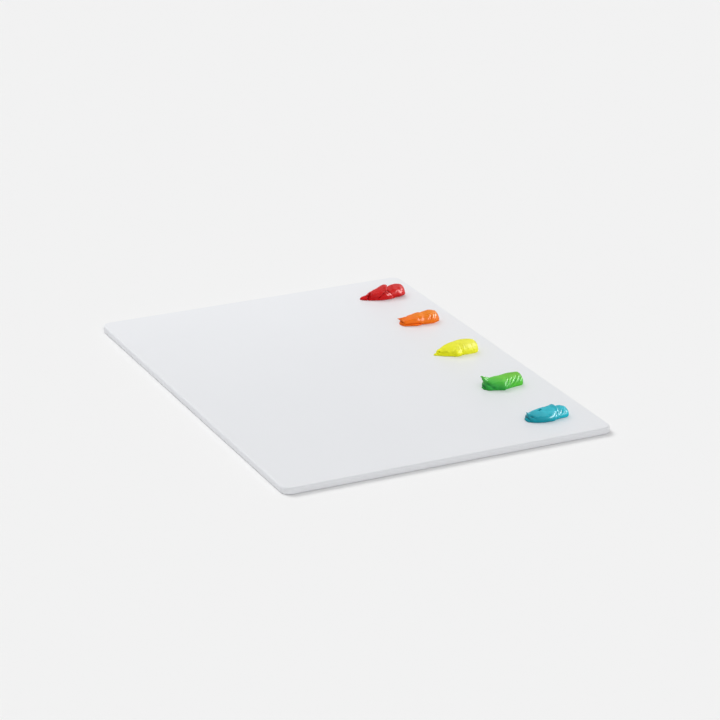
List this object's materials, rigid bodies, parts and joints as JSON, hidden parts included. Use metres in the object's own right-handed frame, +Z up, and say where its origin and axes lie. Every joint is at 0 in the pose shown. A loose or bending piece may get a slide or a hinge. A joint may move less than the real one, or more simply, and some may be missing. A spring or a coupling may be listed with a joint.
{
  "type": "tabletop paint palette",
  "caption": "Flat rectangular board with rounded corners for mixing paint, with a row of squeezed paint dabs lying along one long side.",
  "frame": {"origin": "centre of the board's underside, on the surface it rests on", "axes": "+X across the board towards the row of paint, +Y along the board's long side towards the red end, +Z up"},
  "size_m": [0.2286, 0.3048, 0.0135],
  "materials": {
    "board_white": "matte white with a fine grain",
    "paint_red": "wet gloss paint",
    "paint_orange": "wet gloss paint",
    "paint_yellow": "wet gloss paint",
    "paint_green": "wet gloss paint",
    "paint_blue": "wet gloss paint"
  },
  "bodies": {
    "root": {"board": "board_white", "paint_dab_red": "paint_red", "paint_dab_orange": "paint_orange", "paint_dab_yellow": "paint_yellow", "paint_dab_green": "paint_green", "paint_dab_blue": "paint_blue"}
  },
  "joints": []
}
